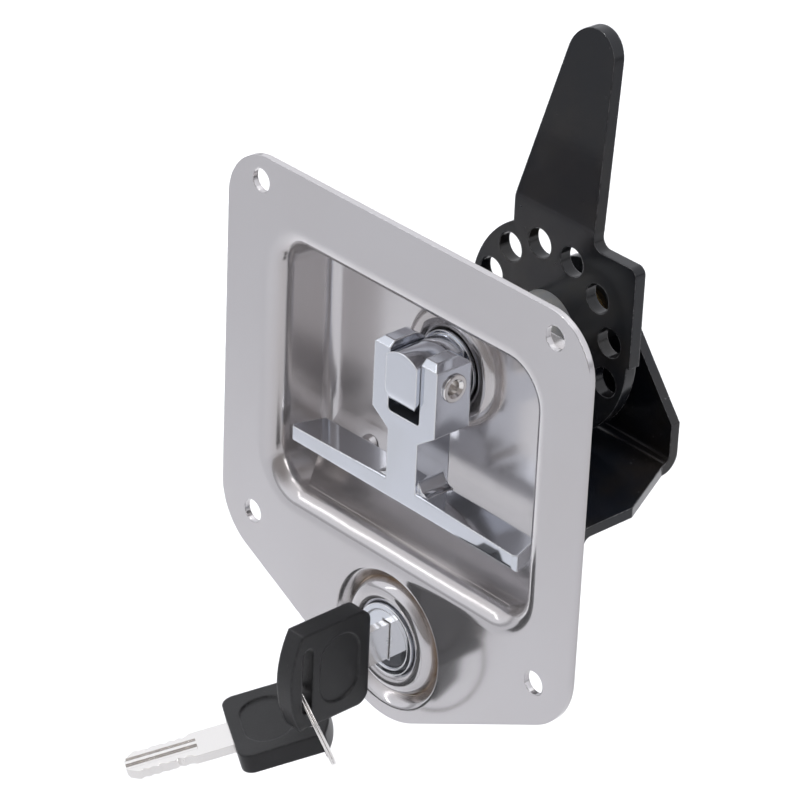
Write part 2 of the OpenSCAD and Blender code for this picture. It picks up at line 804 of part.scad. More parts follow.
// Left a rivet whose low dome sits square on the scoop, right a stud welded to the pan's back
module bracket_rivets() {
    head_r = rivet_r * 1.35;
    head_h = 0.9;
    dome_r = (head_r ^ 2 + head_h ^ 2) / (2 * head_h);
    scoop_z = -min(rivet_low, recess_low - scoop_r);
    lean = asin((rivet_low + scoop_z) / scoop_r);
    seat = sqrt(scoop_r ^ 2 - head_r ^ 2) - face_gap;
    tail_at = floor_back + bracket_t + face_gap;
    tail_r = min(head_r, rivet_low + shelf_low - bracket_bend_r - face_gap);
    tail_h = 1.2;
    shank_front = recess_depth - scoop_r + (seat - head_h / 2) * cos(lean);
    color("silver") {
        for (side = [[-1, shank_front], [1, floor_back + face_gap]]) translate([side[0] * rivet_span / 2, 0, 0]) {
            rod(side[1], tail_at + tail_h / 2, rivet_r * 0.9, -rivet_low);
            rod(tail_at, tail_at + tail_h, tail_r, -rivet_low);
        }
        translate([-rivet_span / 2, at(recess_depth - scoop_r), scoop_z]) rotate([-90 - lean, 0, 0]) rotate_extrude()
            intersection() {
                translate([0, seat - head_h + dome_r]) circle(dome_r);
                translate([0, seat - head_h]) square([head_r, head_h]);
            }
    }
}

module end_bush() {
    inner = stud_r + run_gap;
    color("goldenrod") {
        tube(web_front - end_bush_lip, bracket_depth + face_gap, inner + end_bush_wall, inner, spindle_z);
        tube(web_front - end_bush_lip, web_front - face_gap, inner + 2 * end_bush_wall, inner, spindle_z);
    }
}

module end_clip() {
    color("dimgray") tube(clip_front, clip_front + clip_t, stud_r + clip_ring, stud_r - groove_depth + run_gap, spindle_z);
}

module lock_body() {
    color("silver") {
        tube(barrel_front, barrel_depth, barrel_r, plug_r + run_gap, lock_z);
        tube(barrel_front, rim_back, rim_r, plug_r + run_gap, lock_z);
    }
}

module lock_nut() {
    front = dish_depth + sheet + face_gap;
    nut_h = 4.2;
    flats = 2 * (lock_bead_r + lock_bead_h) - 1;
    color("silver") hex_nut(front, front + nut_h, flats, barrel_r + run_gap, lock_z);
}

module lock_plug() {
    keyway_x = blade_t / 2 + keyway_gap;
    keyway_z = blade_w / 2 + keyway_gap;
    wafer_play = 0.1;
    color("lightgray") difference() {
        union() {
            rod(plug_front, plug_back, plug_r, lock_z);
            square_bar(plug_back, tail_back, plug_square, lock_z);
        }
        pressed(plug_front - 1, keyway_back) translate([-keyway_x, lock_z - keyway_z])
            square([2 * keyway_x, 2 * keyway_z]);
        for (i = [0:wafer_count - 1]) {
            front = wafer_first + i * wafer_pitch;
            pressed(front - wafer_play, front + wafer_t + wafer_play) translate([0, lock_z])
                square([2 * (wafer_x + wafer_play), 2 * plug_r + 1], center = true);
        }
        rod(keyway_back + 0.6, tail_back + 1, tail_screw_r + run_gap, lock_z);
    }
}

module lock_wafers() {
    window_x = blade_t / 2 + keyway_gap;
    window_z = blade_w / 2 + keyway_gap;
    color("goldenrod") for (i = [0:wafer_count - 1])
        pressed(wafer_first + i * wafer_pitch, wafer_first + i * wafer_pitch + wafer_t) translate([0, lock_z])
            difference() {
                intersection() {
                    circle(plug_r - run_gap);
                    square([2 * wafer_x, 2 * plug_r], center = true);
                }
                square([2 * window_x, 2 * window_z], center = true);
            }
}

// Lock tail: lies to the left while the lock is open
module lock_tail() {
    hub_r = 6;
    color("silver") difference() {
        pressed(tail_front, tail_back) translate([0, lock_z]) {
            circle(hub_r);
            translate([-tail_reach, -tail_w / 2]) square([tail_reach, tail_w]);
        }
        square_bar(tail_front - 1, tail_back + 1, plug_square + 2 * run_gap, lock_z);
    }
}

module tail_washer() {
    color("silver") tube(tail_back + face_gap, tail_back + face_gap + tail_washer_t, tail_washer_r,
        tail_screw_r + run_gap, lock_z);
}

module tail_screw() {
    head_front = tail_back + 2 * face_gap + tail_washer_t;
    head_h = 2.4;
    head_r = 1.85 * tail_screw_r;
    recess_r = 1.6;
    color("silver") difference() {
        union() {
            rod(keyway_back + 1.2, head_front + 0.5, tail_screw_r, lock_z);
            rod(head_front, head_front + head_h, head_r, lock_z);
        }
        translate([0, at(head_front + 1), lock_z]) rotate([-90, 0, 0]) cylinder(h = head_h, r = recess_r, $fn = 6);
    }
}

// Side view of a key blade: a small shoulder, shallow cuts along both edges and a bevelled tip
module blade_outline() {
    cuts = [0.4, 0.7, 0.3, 0.6, 0.5, 0.6];
    count = len(cuts);
    cut_first = 9.6;
    shoulder = 0.5;
    tip = 2.6;
    cut_pitch = (blade_l - tip - cut_first) / count;
    z = blade_w / 2;
    function edge(flip) = concat([[-tang_l, z], [cut_first - shoulder, z]],
        [for (i = [0:count - 1]) let (deep = cuts[flip ? count - 1 - i : i])
            each [[cut_first + i * cut_pitch, z - shoulder],
                [cut_first + (i + 0.5) * cut_pitch, z - shoulder - deep]]],
        [[blade_l - tip, z - shoulder], [blade_l, z - tip]]);
    upper = edge(false);
    lower = edge(true);
    polygon(concat(upper, [for (i = [len(lower) - 1:-1:0]) [lower[i][0], -lower[i][1]]]));
}

// Key blade in its own frame: +Y towards the tip, width along Z, two milled grooves on each face
module blade_shape() {
    groove_t = 0.45;
    groove_from = 8;
    grooves = [[0.9, 2], [-1.7, 1]];
    difference() {
        translate([-blade_t / 2, 0, 0]) multmatrix([[0, 0, 1, 0], [1, 0, 0, 0], [0, 1, 0, 0]])
            linear_extrude(blade_t) blade_outline();
        for (sx = [-1, 1], g = grooves) translate([sx * blade_t / 2, groove_from + blade_l / 2, sx * g[0]])
            cube([2 * groove_t, blade_l, g[1]], center = true);
    }
}

// Key head in its own frame: round far end, ring slot and a shallow thumb oval on both faces
module head_shape() {
    z = head_w / 2;
    corner = 3;
    oval_l = 11.4;
    oval_w = 17;
    oval_back = 8.5;
    oval_deep = 0.4;
    gap = 0.02;
    slot_end = ring_slot_l / 2 - ring_slot_w / 2;
    difference() {
        translate([-head_t / 2, 0, 0]) multmatrix([[0, 0, 1, 0], [1, 0, 0, 0], [0, 1, 0, 0]])
            linear_extrude(head_t) difference() {
                intersection() {
                    rounded([[0, z, corner], [0, -z, corner], [-head_l - 4, -z, 0], [-head_l - 4, z, 0]]);
                    translate([far_r - head_l, 0]) circle(far_r);
                }
                translate([-ring_slot_back, 0]) {
                    square([ring_slot_w, 2 * slot_end], center = true);
                    for (s = [-1, 1]) translate([0, s * slot_end]) circle(ring_slot_w / 2);
                }
            }
        for (sx = [-1, 1]) translate([sx * (head_t / 2 - oval_deep / 2), 0, 0])
            multmatrix([[0, 0, 1, -oval_deep / 2 - 0.001], [1, 0, 0, -oval_back], [0, 1, 0, 0]])
                linear_extrude(oval_deep + 0.002) rounded([for (c = [[1, 1], [-1, 1], [-1, -1], [1, -1]])
                    [c[0] * oval_l / 2, c[1] * oval_w / 2, oval_l / 2 - 0.1]]);
        translate([-blade_t / 2 - gap, -tang_l - gap, -blade_w / 2 - gap])
            cube([blade_t + 2 * gap, tang_l + 1, blade_w + 2 * gap]);
    }
}

// Place of the key in the lock
module in_lock() {
    translate([0, at(head_end), lock_z]) children();
}

// Place of the spare key: threaded on the ring near its slot's middle, blade tip down
module on_ring() {
    translate(ring_centre + ring_arm(spare_hold_angle)) rotate([0, 0, spare_yaw]) rotate([-spare_pitch, 0, 0])
        rotate([0, -90, 0]) translate([0, ring_slot_back, spare_slot_shift]) children();
}

module key_blade() {
    color("silver") in_lock() blade_shape();
}

module key_head() {
    color([0.1, 0.1, 0.11]) in_lock() head_shape();
}

module spare_key_blade() {
    color("silver") on_ring() blade_shape();
}

module spare_key_head() {
    color([0.1, 0.1, 0.11]) on_ring() head_shape();
}

module key_ring() {
    color("silver") translate(ring_centre) rotate([0, ring_tip, ring_yaw])
        rotate_extrude() translate([ring_r, 0]) circle(ring_wire_r);
}

face_pan();
t_handle();
pivot_pin();
spindle();
spindle_bush();
spring_washer();
front_sleeve();
stop_plate();
rear_sleeve();
cam_arm();
cam_washer();
cam_nut();
rear_bracket();
bracket_rivets();
end_bush();
end_clip();
lock_body();
lock_nut();
lock_plug();
lock_wafers();
lock_tail();
tail_washer();
tail_screw();
key_blade();
key_head();
spare_key_blade();
spare_key_head();
key_ring();
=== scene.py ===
from math import copysign, cos, radians, sin, tau

import bmesh
import bpy
import numpy as np
from bpy.props import FloatProperty, FloatVectorProperty, PointerProperty
from bpy.types import Operator, Panel, PropertyGroup
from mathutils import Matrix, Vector


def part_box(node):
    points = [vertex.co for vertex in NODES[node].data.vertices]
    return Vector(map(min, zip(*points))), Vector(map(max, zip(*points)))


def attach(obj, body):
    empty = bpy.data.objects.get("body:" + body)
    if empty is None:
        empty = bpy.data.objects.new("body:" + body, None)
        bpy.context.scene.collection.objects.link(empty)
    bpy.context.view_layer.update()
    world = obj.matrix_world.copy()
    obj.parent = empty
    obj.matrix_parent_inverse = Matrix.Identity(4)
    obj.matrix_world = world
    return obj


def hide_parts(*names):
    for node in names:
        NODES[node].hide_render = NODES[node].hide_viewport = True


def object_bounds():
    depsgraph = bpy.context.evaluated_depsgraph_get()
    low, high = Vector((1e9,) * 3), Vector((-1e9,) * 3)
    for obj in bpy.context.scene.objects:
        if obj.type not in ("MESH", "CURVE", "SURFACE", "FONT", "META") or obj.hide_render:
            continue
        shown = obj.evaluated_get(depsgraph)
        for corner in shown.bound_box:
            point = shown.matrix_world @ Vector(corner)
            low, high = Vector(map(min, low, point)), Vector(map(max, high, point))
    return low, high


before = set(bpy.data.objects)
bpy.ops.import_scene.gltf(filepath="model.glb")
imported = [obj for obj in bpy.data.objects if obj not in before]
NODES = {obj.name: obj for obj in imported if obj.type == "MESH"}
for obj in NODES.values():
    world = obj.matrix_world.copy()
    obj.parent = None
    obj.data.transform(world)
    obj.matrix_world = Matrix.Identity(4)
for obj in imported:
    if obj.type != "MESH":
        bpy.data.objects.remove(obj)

bl_info = {
    "name": "Flush T-handle door latch",
    "version": (1, 0, 0),
    "blender": (4, 5, 0),
    "location": "View3D > Sidebar > Latch",
    "description": "Finishes, key ring and studio stage for a flush folding T-handle latch",
    "category": "Object",
}

CAD_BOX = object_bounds()
MM = 0.001

# radii of the foot and the crown of the beads that are pressed round the spindle and the lock
SPINDLE_FOOT, SPINDLE_CROWN = 14.4 * MM, 11 * MM
LOCK_FOOT, LOCK_CROWN = 13.9 * MM, 10.6 * MM
CROWN_REACH = 4 * MM
# depths into the door: the flange's face, the end of the bend, and the recess's bottom
FLANGE_FACE, BEND_END = -1.45 * MM, 1 * MM
BOTTOM_NEAR, BOTTOM_FAR = 11 * MM, 15.5 * MM

# second colours, which the finishes take on in patches and along edges
# painted highlight: the near-white that the chrome's edges take on
CHROME_EDGE_HIGHLIGHT = (0.95, 0.95, 0.96)
CHROME_SMUDGE = (0.56, 0.57, 0.59)
COAT_BROWN = (0.0125, 0.0105, 0.009)
SPRING_RUBBED = (0.3, 0.3, 0.31)
BUSH_BLOOM = (0.045, 0.044, 0.044)
BRASS_TARNISH = (0.42, 0.27, 0.12)
BARE_BRASS = (0.70, 0.56, 0.34)
GRIP_RUBBED = (0.055, 0.055, 0.058)
FLOOR_CLOUD = (0.68, 0.68, 0.685)

# the sky: the dome, the band along the horizon and the side behind the camera
DOME = (0.97, 0.98, 1.02)
HORIZON = (0.2, 0.2, 0.21)
CAMERA_SIDE = (0.27, 0.25, 0.245)
CAMERA_WAY = Vector((0.68, -0.68, 0.28))
SKY_STRENGTH = 1.05

CAMERA_SPOT = (0.581537, -0.550583, 0.450531)
CAMERA_TURN = (60.9773, -2.21095, 47.82622)
CAMERA_LENS = 192.06


class LatchSizes(PropertyGroup):
    """Sizes of the finishes and of the stage, in metres."""

    sheet_edge: FloatProperty(
        name="Sheet edge", description="Radius of the rolled-over edges of the pressed sheet",
        default=0.45 * MM, min=0.05 * MM, max=1 * MM, precision=5, unit="LENGTH")
    cast_edge: FloatProperty(
        name="Cast edge", description="Radius of the edges of the cast and polished parts",
        default=0.6 * MM, min=0.05 * MM, max=1.5 * MM, precision=5, unit="LENGTH")
    moulded_edge: FloatProperty(
        name="Moulded edge", description="Radius of the edges of the key heads",
        default=0.8 * MM, min=0.05 * MM, max=1.5 * MM, precision=5, unit="LENGTH")
    small_edge: FloatProperty(
        name="Small edge", description="Radius of the edges of fixings, blades and washers",
        default=0.15 * MM, min=0.02 * MM, max=0.5 * MM, precision=5, unit="LENGTH")
    ring_wire: FloatProperty(
        name="Ring wire", description="Height of the two turns of the split ring's wire together",
        default=1.3 * MM, min=0.4 * MM, max=1.8 * MM, precision=5, unit="LENGTH")
    floor_reach: FloatProperty(
        name="Floor reach", description="Radius of the round floor",
        default=4, min=1, max=20, unit="LENGTH")
    floor_gap: FloatProperty(
        name="Floor gap", description="Gap between the floor and the lowest point of the latch",
        default=70 * MM, min=0, max=0.2, precision=4, unit="LENGTH")


def colour(name, words, value):
    """A colour that a user can change."""
    return FloatVectorProperty(
        name=name, description=words, default=value, min=0, max=1, size=3, subtype="COLOR")


class LatchColours(PropertyGroup):
    """Base colours of the finishes."""

    steel: colour("Stainless sheet", "Pressed stainless plate", (0.605, 0.592, 0.605))
    # a darker, browner steel: painted shade at the beads' feet and in the recess, and random
    # stains
    steel_stain_and_shade: colour("Handled steel", "Stain left by drawing grease", (0.36, 0.29, 0.23))
    # painted light: a paler steel on the recess's bottom, which reads as brighter reflected light
    steel_painted_light: colour("Pale steel", "Bottom of the recess, left as rolled", (0.78, 0.77, 0.785))
    chrome: colour("Chrome", "Plated handle, spindle and lock", (0.655, 0.68, 0.735))
    zinc: colour("Zinc", "Plated fixings", (0.56, 0.57, 0.58))
    zinc_pale: colour("Zinc bloom", "Pale patches on the plated fixings", (0.66, 0.63, 0.55))
    black: colour("Black coat", "Coated cam and bracket", (0.0055, 0.0066, 0.0095))
    # lighter edge colour of the black coat: partly rubbed coat, partly a painted highlight
    black_edge_wear_and_highlight: colour("Worn black", "Coat rubbed thin on its edges", (0.13, 0.13, 0.135))
    spring: colour("Spring steel", "Oiled spring washer and clip", (0.11, 0.11, 0.12))
    bush: colour("Bush plastic", "Moulded bush under the spindle", (0.028, 0.028, 0.030))
    brass: colour("Brass", "Bush and wafers", (0.72, 0.50, 0.23))
    nickel: colour("Nickel", "Plated key blades and ring", (0.84, 0.82, 0.80))
    plastic: colour("Key plastic", "Moulded key heads", (0.0085, 0.0085, 0.0095))
    floor: colour("Floor", "Pale studio floor", (0.72, 0.72, 0.73))


class Value:
    """A number that varies over a surface. Arithmetic on it adds Math nodes."""

    def __init__(self, finish, socket):
        self.finish = finish
        self.socket = socket

    def math(self, operation, *terms):
        sockets = dict(enumerate((self, *terms)))
        return self.finish.node("ShaderNodeMath", {"operation": operation}, sockets)

    def __add__(self, other):
        return self.math("ADD", other)

    def __sub__(self, other):
        return self.math("SUBTRACT", other)

    def __rsub__(self, other):
        return self.finish.node("ShaderNodeMath", {"operation": "SUBTRACT"}, {0: other, 1: self})

    def __mul__(self, other):
        return self.math("MULTIPLY", other)

    __radd__ = __add__
    __rmul__ = __mul__

    def step(self, low, high):
        """0 below low, 1 above high and an easy rise between them."""
        return self.finish.node(
            "ShaderNodeMapRange", {"interpolation_type": "SMOOTHSTEP"},
            {"Value": self, "From Min": low, "From Max": high, "To Min": 0.0, "To Max": 1.0})


class Nodes:
    """A node tree that is written as expressions."""

    def __init__(self, tree):
        self.tree = tree
        self.count = 0

    def feed(self, socket, value):
        """Sets a socket to a number, a colour or a link."""
        if isinstance(value, Value):
            self.tree.links.new(value.socket, socket)
        elif socket.type == "RGBA":
            socket.default_value = (*value, 1)
        else:
            socket.default_value = value

    def node(self, kind, settings=None, sockets=None, out=0):
        """Any node: its settings first, then the values or links of its sockets."""
        made = self.tree.nodes.new(kind)
        self.count += 1
        made.location = (-260 - 190 * (self.count % 7), 320 - 190 * (self.count // 7))
        for label, value in (settings or {}).items():
            setattr(made, label, value)
        for label, value in (sockets or {}).items():
            self.feed(made.inputs[label], value)
        return Value(self, made.outputs[out])

    def mix(self, share, first, second):
        """A colour between two colours."""
        return self.node(
            "ShaderNodeMix", {"data_type": "RGBA", "blend_type": "MIX"},
            {0: share, 6: first, 7: second}, out=2)


class Finish(Nodes):
    """A material around one Principled shader, and the nodes that vary it."""

    def __init__(self, name, **constants):
        self.material = bpy.data.materials.new(name)
        self.material.use_nodes = True
        super().__init__(self.material.node_tree)
        self.tree.nodes.clear()
        self.shader = self.tree.nodes.new("ShaderNodeBsdfPrincipled")
        output = self.tree.nodes.new("ShaderNodeOutputMaterial")
        output.location = (320, 0)
        self.tree.links.new(self.shader.outputs[0], output.inputs[0])
        for label, value in constants.items():
            self.feed(self.shader.inputs[label.replace("_", " ")], value)
        self.place = self.node("ShaderNodeTexCoord", out="Object")

    def stretched(self, x, y, z):
        """Object coordinates in metres, scaled along each axis."""
        return self.node(
            "ShaderNodeVectorMath", {"operation": "MULTIPLY"}, {0: self.place, 1: (x, y, z)})

    def noise(self, scale, detail=3.0, rough=0.55, at=None):
        return self.node(
            "ShaderNodeTexNoise", {"noise_dimensions": "3D"},
            {"Vector": at or self.place, "Scale": scale, "Detail": detail, "Roughness": rough},
            out="Fac")

    def scratches(self, scale, at):
        """Fine lines: the narrow cell walls of a stretched cell pattern."""
        cells = self.node(
            "ShaderNodeTexVoronoi", {"feature": "DISTANCE_TO_EDGE"},
            {"Vector": at, "Scale": scale, "Randomness": 1.0}, out="Distance")
        return 1 - cells.step(0.004, 0.03)

    def rounded(self, radius):
        """The normal as it would be with edges of that radius."""
        return self.node("ShaderNodeBevel", {"samples": 10}, {"Radius": radius}, out="Normal")

    def edge_wear_and_highlight(self, soft):
        """1 on the edges that the soft normal turns over, 0 on the flats. The finishes use it for
        rubbed wear, the chrome for a painted highlight and the black coat for both.
        """
        flat = self.node("ShaderNodeNewGeometry", out="Normal")
        lean = self.node(
            "ShaderNodeVectorMath", {"operation": "DOT_PRODUCT"}, {0: soft, 1: flat}, out="Value")
        return (1 - lean).step(0.01, 0.14)

    def ring(self, name, radius, spread):
        """1 on a ring about a node's axis along y, fading to 0 at the spread on both sides."""
        low, high = (Vector(p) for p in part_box(name))
        middle = (low + high) / 2
        off = self.node(
            "ShaderNodeVectorMath", {"operation": "SUBTRACT"}, {0: self.place, 1: middle})
        flat = self.node(
            "ShaderNodeVectorMath", {"operation": "MULTIPLY"}, {0: off, 1: (1, 0, 1)})
        reach = self.node("ShaderNodeVectorMath", {"operation": "LENGTH"}, {0: flat}, out="Value")
        return 1 - (reach - radius).math("ABSOLUTE").step(0, spread)

    def depth(self, near, far):
        """0 in front of the near depth, 1 behind the far one, measured into the door."""
        apart = self.node("ShaderNodeSeparateXYZ", None, {0: self.place}, out="Y")
        return apart.step(near, far)

    def bump(self, height, depth, strength, normal=None):
        """A normal that follows a height, over an optional normal."""
        sockets = {"Height": height, "Distance": depth, "Strength": strength}
        if normal is not None:
            sockets["Normal"] = normal
        return self.node("ShaderNodeBump", None, sockets, out="Normal")

    def end(self, **sockets):
        """Feeds the shader and gives the material back."""
        for label, value in sockets.items():
            self.feed(self.shader.inputs[label.replace("_", " ")], value)
        return self.material


def wear(material, *names):
    """Puts a finish on CAD nodes."""
    for name in names:
        if name not in NODES:
            raise RuntimeError(f"the frame has no node named {name}")
        slots = NODES[name].data.materials
        slots.clear()
        slots.append(material)


def satin_steel(sizes, colours):
    """Pressed stainless sheet: bright flats, duller where drawn, with waves and stains. Painted
    shade browns the beads' feet and the drawn recess, and painted light makes the recess's bottom
    paler.
    """
    f = Finish("satin_steel")
    soft = f.rounded(sizes.sheet_edge)
    cloud = f.noise(30, 4).step(0.35, 0.75)
    satin = f.noise(2600, 2, 0.6)
    waves = f.noise(1, 2, 0.4, f.stretched(60, 60, 34))
    # painted shade: a brown ring in the crease round the foot of each bead, made uneven by noise
    # below
    bead_foot_shade = (
        f.ring("spindle_bush", SPINDLE_FOOT, 0.9 * MM) + f.ring("lock_plug", LOCK_FOOT, 0.8 * MM))
    polish = (
        f.ring("spindle_bush", SPINDLE_CROWN, CROWN_REACH)
        + f.ring("lock_plug", LOCK_CROWN, CROWN_REACH))
    drawn = f.depth(FLANGE_FACE, BEND_END)
    unpolished = 1 - polish * 0.8
    dull = drawn * unpolished
    # painted light: the recess's bottom turns paler and a little less metallic, to read as
    # brighter reflected light
    bottom = f.depth(BOTTOM_NEAR, BOTTOM_FAR) * unpolished
    streaks = f.noise(1, 2, 0.5, f.stretched(420, 60, 16)).step(0.4, 0.8) * drawn
    puckers = f.noise(1, 1, 0.4, f.stretched(75, 75, 45)) * drawn
    # the drawn bends are round already, so only the flats need softer edges
    edges = f.node(
        "ShaderNodeMix", {"data_type": "VECTOR"},
        {0: drawn, 4: soft, 5: f.node("ShaderNodeNewGeometry", out="Normal")}, out=1)
    # brown: painted shade at the beads' feet and over the drawn recess, and random stains from the
    # cloud
    brown = bead_foot_shade * (0.5 + f.noise(260, 3).step(0.35, 0.7) * 0.5) + cloud * 0.06 + drawn * 0.2
    stained_and_shaded = f.mix(brown, tuple(colours.steel), tuple(colours.steel_stain_and_shade))
    return f.end(
        Base_Color=f.mix(bottom * 0.7, stained_and_shaded, tuple(colours.steel_painted_light)),
        Metallic=0.85 - dull * 0.1 - bottom * 0.06,
        Roughness=0.1 + cloud * 0.03 + satin * 0.02 + dull * 0.07 + streaks * 0.03,
        Normal=f.bump(waves * 0.9 + puckers * 3, 0.5 * MM, 0.12, edges))


def bright_chrome(sizes, colours):
    """Plated castings: almost a mirror, with the slight waviness of a polished casting, and a
    painted highlight along the edges.
    """
    f = Finish("bright_chrome")
    soft = f.rounded(sizes.cast_edge)
    wave = f.noise(150, 2, 0.4)
    smudge = f.noise(75, 4, 0.6).step(0.42, 0.75)
    dust = f.noise(2600, 2)
    edge = f.edge_wear_and_highlight(soft)
    plate = f.mix(smudge * 0.35, tuple(colours.chrome), CHROME_SMUDGE)
    return f.end(
        # painted highlight: the edges turn near-white and less metallic, as though they catch the
        # light
        Base_Color=f.mix(edge * 0.8, plate, CHROME_EDGE_HIGHLIGHT),
        Metallic=0.95 - edge * 0.5,
        Roughness=0.035 + smudge * 0.05 + dust * 0.015,
        Normal=f.bump(wave, 0.1 * MM, 0.1, soft))


def zinc_plate(sizes, colours):
    """Zinc-plated fixings: a cloudy bloom, turned lines and duller patches."""
    f = Finish("zinc_plate", Metallic=0.6)
    soft = f.rounded(sizes.small_edge)
    bloom = f.noise(240, 4, 0.6).step(0.4, 0.7)
    turned = f.noise(1, 3, 0.6, f.stretched(500, 4200, 500))
    edge = f.edge_wear_and_highlight(soft)
    return f.end(
        Base_Color=f.mix(bloom * 0.7, tuple(colours.zinc), tuple(colours.zinc_pale)),
        Roughness=0.26 + bloom * 0.14 + turned * 0.08 - edge * 0.08,
        Normal=f.bump(turned * 0.6 + bloom * 0.4, 0.02 * MM, 0.4, soft))


def gloss_black(sizes, colours):
    """Dipped black coat: glossy with orange peel, dust in it, thin and lighter along the edges,
    where the lighter colour is partly rubbed coat and partly a painted highlight.
    """
    f = Finish("gloss_black", Metallic=0.0, Specular_IOR_Level=0.4)
    soft = f.rounded(sizes.sheet_edge)
    peel = f.noise(420, 2, 0.5) * 0.5 + f.noise(48, 2, 0.5) * 4
    cloud = f.noise(45, 4, 0.6)
    nicks = f.noise(900, 4, 0.7).step(0.4, 0.62)
    edge = f.edge_wear_and_highlight(soft) * (0.25 + nicks * 0.75)
    dust = f.noise(1300, 0).step(0.8, 0.86) * f.noise(55, 2).step(0.45, 0.65)
    scuff = f.scratches(1, f.stretched(160, 220, 130)) * cloud.step(0.55, 0.72)
    # dust and scuffs, and edges that are partly rubbed coat and partly a painted highlight
    wear_and_edge_highlight = edge * 0.8 + dust * 0.4 + scuff * 0.08
    brown = f.mix(cloud.step(0.4, 0.7), tuple(colours.black), COAT_BROWN)
    return f.end(
        Base_Color=f.mix(wear_and_edge_highlight, brown, tuple(colours.black_edge_wear_and_highlight)),
        Roughness=0.1 + cloud * 0.14 + wear_and_edge_highlight * 0.2,
        Coat_Weight=cloud.step(0.45, 0.75) * 0.12,
        Normal=f.bump(peel, 0.05 * MM, 0.2, soft))


def oiled_spring(sizes, colours):
    """Oiled spring steel: dark, with fine scale."""
    f = Finish("oiled_spring", Metallic=0.9)
    soft = f.rounded(sizes.small_edge)
    scale = f.noise(700, 5, 0.65)
    rubbed = f.edge_wear_and_highlight(soft) * 0.6 + scale.step(0.5, 0.8) * 0.3
    return f.end(
        Base_Color=f.mix(rubbed, tuple(colours.spring), SPRING_RUBBED),
        Roughness=0.34 + scale * 0.2,
        Normal=f.bump(scale, 0.03 * MM, 0.4, soft))


def bush_plastic(sizes, colours):
    """Moulded bush: low sheen with a fine mould texture."""
    f = Finish("bush_plastic", Metallic=0.0)
    soft = f.rounded(sizes.small_edge)
    grain = f.noise(2400, 3, 0.6)
    cloud = f.noise(160, 3)
    return f.end(
        Base_Color=f.mix(cloud.step(0.4, 0.7) * 0.5, tuple(colours.bush), BUSH_BLOOM),
        Roughness=0.42 + grain * 0.12,
        Normal=f.bump(grain, 0.04 * MM, 0.35, soft))


def turned_brass(sizes, colours):
    """Turned brass: bright lines with a brown tarnish."""
    f = Finish("turned_brass", Metallic=1.0)
    soft = f.rounded(sizes.small_edge)
    turned = f.noise(1, 3, 0.6, f.stretched(500, 5000, 500))
    tarnish = f.noise(320, 4, 0.6).step(0.45, 0.75)
    return f.end(
        Base_Color=f.mix(tarnish * 0.6, tuple(colours.brass), BRASS_TARNISH),
        Roughness=0.24 + tarnish * 0.18 + turned * 0.06,
        Normal=f.bump(turned, 0.015 * MM, 0.4, soft))


def bright_nickel(sizes, colours):
    """Nickel plate: milled lines, with the brass bare on the rubbed edges."""
    f = Finish("bright_nickel", Metallic=1.0)
    soft = f.rounded(sizes.small_edge)
    milled = f.noise(1, 3, 0.6, f.stretched(700, 700, 3600))
    rubbed = f.edge_wear_and_highlight(soft) * f.noise(500, 3, 0.6).step(0.45, 0.65)
    haze = f.noise(260, 3).step(0.45, 0.75)
    return f.end(
        Base_Color=f.mix(rubbed * 0.5, tuple(colours.nickel), BARE_BRASS),
        Roughness=0.15 + haze * 0.12 + milled * 0.08,
        Normal=f.bump(milled, 0.015 * MM, 0.45, soft))


def key_grip(sizes, colours):
    """Moulded key head: fine mould grain, smoother and greyer on rubbed edges, with pale dust."""
    f = Finish("key_grip", Metallic=0.0, Specular_IOR_Level=0.42)
    soft = f.rounded(sizes.moulded_edge)
    cells = f.node(
        "ShaderNodeTexVoronoi", {"feature": "SMOOTH_F1"},
        {"Vector": f.place, "Scale": 2300.0, "Smoothness": 0.6}, out="Distance")
    grain = f.noise(3200, 3, 0.65)
    cloud = f.noise(120, 4, 0.6)
    edge = f.edge_wear_and_highlight(soft)
    rubbed = edge * (0.2 + f.noise(700, 4, 0.7).step(0.45, 0.62) * 0.8)
    dust = f.noise(1500, 0).step(0.8, 0.86) * f.noise(70, 2).step(0.42, 0.65)
    grey = rubbed * 0.5 + dust * 0.5 + cloud.step(0.45, 0.75) * 0.12
    return f.end(
        Base_Color=f.mix(grey, tuple(colours.plastic), GRIP_RUBBED),
        Roughness=0.36 + grain * 0.16 - edge * 0.1,
        Normal=f.bump(cells * 0.7 + grain * 0.3, 0.05 * MM, 0.35, soft))


def chosen(context):
    """The sizes and colours of the scene that an operator runs in."""
    return context.scene.latch_sizes, context.scene.latch_colours


class LATCH_OT_plate(Operator):
    """Finishes the pressed plate and its rivets in satin stainless steel"""

    bl_idname = "latch.plate"
    bl_label = "Pressed plate"

    def execute(self, context):
        sizes, colours = chosen(context)
        wear(satin_steel(sizes, colours), "face_pan", "bracket_rivets")
        return {"FINISHED"}


class LATCH_OT_handle(Operator):
    """Finishes the T-handle, the spindle and the lock in chrome, and the pivot pin in nickel"""

    bl_idname = "latch.handle"
    bl_label = "Handle, spindle and lock"

    def execute(self, context):
        sizes, colours = chosen(context)
        wear(bright_chrome(sizes, colours), "t_handle", "spindle", "lock_body", "lock_plug")
        wear(bright_nickel(sizes, colours), "pivot_pin")
        return {"FINISHED"}


class LATCH_OT_fixings(Operator):
    """Finishes the sleeves, washers, nuts and the lock's tail in zinc plate"""

    bl_idname = "latch.fixings"
    bl_label = "Plated fixings"

    def execute(self, context):
        sizes, colours = chosen(context)
        wear(
            zinc_plate(sizes, colours), "front_sleeve", "rear_sleeve", "stop_plate",
            "cam_washer", "cam_nut", "lock_nut", "lock_tail", "tail_washer", "tail_screw")
        return {"FINISHED"}


